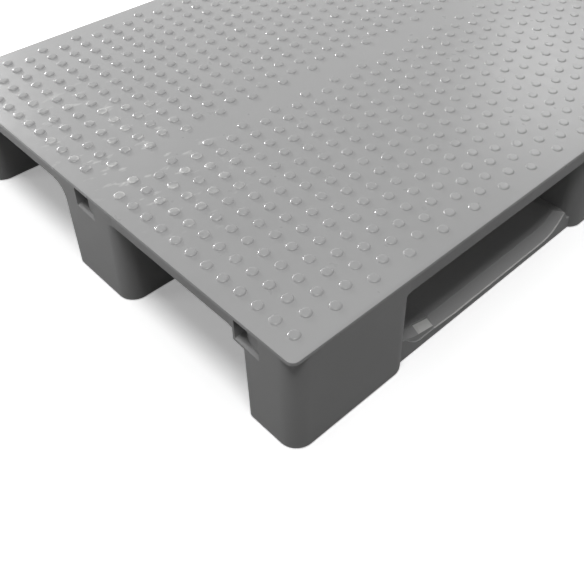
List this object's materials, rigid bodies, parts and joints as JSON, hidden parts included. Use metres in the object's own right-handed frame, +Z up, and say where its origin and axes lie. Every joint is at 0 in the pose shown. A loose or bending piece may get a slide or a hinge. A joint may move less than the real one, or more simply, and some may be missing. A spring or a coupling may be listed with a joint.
{
  "type": "plastic pallet",
  "caption": "Closed-deck plastic pallet with low anti-slip studs, hollow rounded feet and long runners for fork and roller handling.",
  "frame": {"origin": "on the ground under the middle of the pallet", "axes": "+Z up, X along the long sides and the runners, Y along the short sides"},
  "size_m": [1.2, 0.8, 0.16],
  "materials": {
    "deck": "satin moulded polyethylene",
    "runner": "satin moulded polyethylene"
  },
  "bodies": {
    "root": {"deck": "deck", "runner_front": "runner", "runner_centre": "runner", "runner_rear": "runner"}
  },
  "joints": []
}
